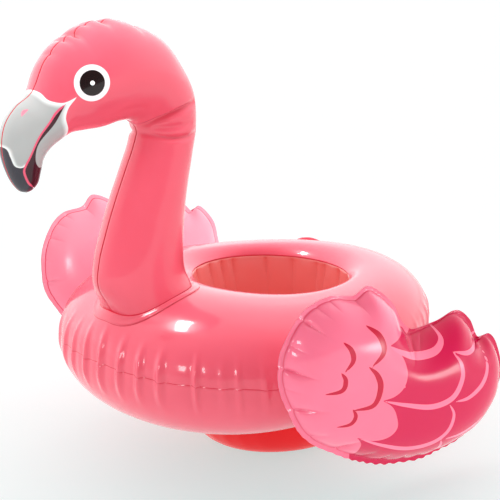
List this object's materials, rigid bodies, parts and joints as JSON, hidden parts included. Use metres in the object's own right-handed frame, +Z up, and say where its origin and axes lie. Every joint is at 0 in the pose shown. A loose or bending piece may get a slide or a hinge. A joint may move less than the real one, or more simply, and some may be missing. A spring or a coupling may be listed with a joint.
{
  "type": "inflatable flamingo float with cup well",
  "caption": "Small inflatable flamingo float: a fat ring round a cup well, on a domed base, with an upright neck and head and a wing on each side.",
  "frame": {"origin": "centre of the base's flat bottom, under the middle of the cup well", "axes": "+Z up, the bird faces -Y, its left wing is on the +X side"},
  "size_m": [0.289, 0.2712, 0.2715],
  "materials": {
    "pink_film": "glossy soft PVC film",
    "printed_wing_film": "glossy soft PVC film, printed feathers",
    "printed_head_film": "glossy soft PVC film, printed eye and beak",
    "red_film": "glossy soft PVC film",
    "valve_vinyl": "moulded translucent soft vinyl"
  },
  "bodies": {
    "float_body": {"ring_upper_panel": "pink_film", "ring_lower_panel": "pink_film", "ring_well_wall": "pink_film", "well_floor": "red_film", "base_dome": "red_film", "valve_collar": "valve_vinyl"},
    "neck": {"neck_left_panel": "printed_head_film", "neck_right_panel": "printed_head_film", "neck_base_skirt": "pink_film"},
    "left_wing": {"left_wing_outer_panel": "printed_wing_film", "left_wing_inner_panel": "printed_wing_film", "left_wing_root_patch": "pink_film"},
    "right_wing": {"right_wing_outer_panel": "printed_wing_film", "right_wing_inner_panel": "printed_wing_film", "right_wing_root_patch": "pink_film"},
    "stem": {"valve_stem": "valve_vinyl", "valve_strap": "valve_vinyl"},
    "plug": {"valve_plug": "valve_vinyl"},
    "flap": {"valve_flap": "valve_vinyl"}
  },
  "joints": [
    {"name": "neck_lean", "type": "hinge", "parent": "float_body", "child": "neck", "pos_m": [0, -0.08143, 0.07283], "axis": [1, 0, 0], "range_deg": [-8, 8], "stiffness_Nm_per_rad": 0.6},
    {"name": "left_wing_flap", "type": "hinge", "parent": "float_body", "child": "left_wing", "pos_m": [0.1103, -0.04055, 0.07057], "axis": [0.1392, 0.9903, 0], "range_deg": [-12, 12], "stiffness_Nm_per_rad": 0.3},
    {"name": "right_wing_flap", "type": "hinge", "parent": "float_body", "child": "right_wing", "pos_m": [-0.1103, -0.04055, 0.07057], "axis": [-0.1437, 0.9872, 0.0696], "range_deg": [-12, 12], "stiffness_Nm_per_rad": 0.3},
    {"name": "valve_stem_pop", "type": "slide", "parent": "float_body", "child": "stem", "axis": [-0.4062, 0.5901, 0.6977], "range_m": [0, 0.006]},
    {"name": "valve_plug_pull", "type": "slide", "parent": "stem", "child": "plug", "axis": [-0.4062, 0.5901, 0.6977], "range_m": [0, 0.01]},
    {"name": "valve_flap_swing", "type": "hinge", "parent": "stem", "child": "flap", "pos_m": [-0.04238, 0.07085, 0.08455], "axis": [0.3956, -0.5746, 0.7164], "range_deg": [0, 40], "stiffness_Nm_per_rad": 0.0005}
  ]
}
